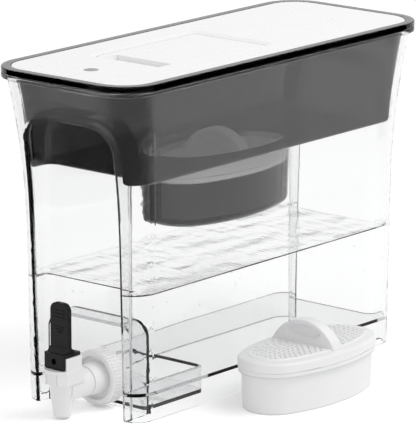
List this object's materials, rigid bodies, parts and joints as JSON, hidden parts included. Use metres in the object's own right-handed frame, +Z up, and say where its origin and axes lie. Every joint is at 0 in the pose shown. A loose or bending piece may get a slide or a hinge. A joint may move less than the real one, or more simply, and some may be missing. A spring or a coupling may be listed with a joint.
{
  "type": "gravity water filter dispenser",
  "caption": "Countertop gravity water filter: clear tank with arched end niches, tinted reservoir, lidded filling door, oval cartridges and a lever tap.",
  "frame": {"origin": "centre of the tank's footprint on the table", "axes": "+Z up; the tap is at the -Y end; the long sides face -X and +X, and the spare cartridge stands beside the +X side"},
  "size_m": [0.2304, 0.409, 0.287],
  "materials": {
    "clear_plastic": "clear injection-moulded plastic, polished",
    "tinted_plastic": "smoke-tinted transparent plastic, polished",
    "white_plastic": "white moulded plastic, smooth",
    "grey_plastic": "grey translucent button",
    "circuit_board": "glass-epoxy board",
    "cell_steel": "nickel-plated can",
    "tap_white_plastic": "white moulded plastic",
    "silicone": "soft silicone",
    "pin_steel": "stainless pin",
    "black_plastic": "black moulded plastic",
    "filter_white_plastic": "white moulded plastic, fine satin",
    "felt": "non-woven felt",
    "media_granules": "granule bed"
  },
  "bodies": {
    "dispenser": {"tank": "clear_plastic", "tap_nut": "tap_white_plastic", "tap_gasket": "silicone", "tap_body": "tap_white_plastic", "tap_bonnet": "tap_white_plastic", "tap_gland": "silicone"},
    "reservoir": {"reservoir": "tinted_plastic"},
    "lid": {"lid": "white_plastic", "indicator_case": "white_plastic", "indicator_board": "circuit_board", "coin_cell": "cell_steel", "battery_door": "white_plastic"},
    "fill_door": {"fill_door": "white_plastic"},
    "indicator_button": {"indicator_button": "grey_plastic"},
    "cartridge": {"filter_cap": "filter_white_plastic", "filter_cup": "filter_white_plastic", "filter_gasket": "silicone", "filter_lower_felt": "felt", "filter_media": "media_granules", "filter_upper_felt": "felt"},
    "spare_cartridge": {"spare_filter_cap": "filter_white_plastic", "spare_filter_cup": "filter_white_plastic", "spare_filter_gasket": "silicone", "spare_filter_lower_felt": "felt", "spare_filter_media": "media_granules", "spare_filter_upper_felt": "felt"},
    "tap_lever": {"tap_lever": "black_plastic"},
    "tap_stem": {"tap_stem": "tap_white_plastic", "tap_plug": "silicone", "tap_pin": "pin_steel"}
  },
  "joints": [
    {"name": "reservoir_lift", "type": "slide", "parent": "dispenser", "child": "reservoir", "axis": [0, 0, 1], "range_m": [0, 0.15]},
    {"name": "lid_lift", "type": "slide", "parent": "reservoir", "child": "lid", "axis": [0, 0, 1], "range_m": [0, 0.06]},
    {"name": "fill_door_hinge", "type": "hinge", "parent": "lid", "child": "fill_door", "pos_m": [0, 0.0184, 0.2829], "axis": [-1, 0, 0], "range_deg": [0, 100]},
    {"name": "indicator_press", "type": "slide", "parent": "lid", "child": "indicator_button", "axis": [0, 0, -1], "range_m": [0, 0.0008], "stiffness_N_per_m": 800, "springref_m": -0.0005},
    {"name": "cartridge_lift", "type": "slide", "parent": "reservoir", "child": "cartridge", "axis": [0, 0, 1], "range_m": [0, 0.06]},
    {"name": "spare_cartridge_lift", "type": "slide", "parent": "dispenser", "child": "spare_cartridge", "axis": [0, 0, 1], "range_m": [0, 0.12]},
    {"name": "tap_lever_tilt", "type": "hinge", "parent": "dispenser", "child": "tap_lever", "pos_m": [0, -0.2025, 0.0448], "axis": [1, 0, 0], "range_deg": [0, 25], "stiffness_Nm_per_rad": 0.4, "springref_deg": -11.46},
    {"name": "tap_stem_lift", "type": "slide", "parent": "dispenser", "child": "tap_stem", "axis": [0, 0, 1], "range_m": [0, 0.0037]}
  ],
  "couplings": [
    {"joint": "tap_stem_lift", "follows": "tap_lever_tilt", "m_per_rad": 0.0082328}
  ]
}
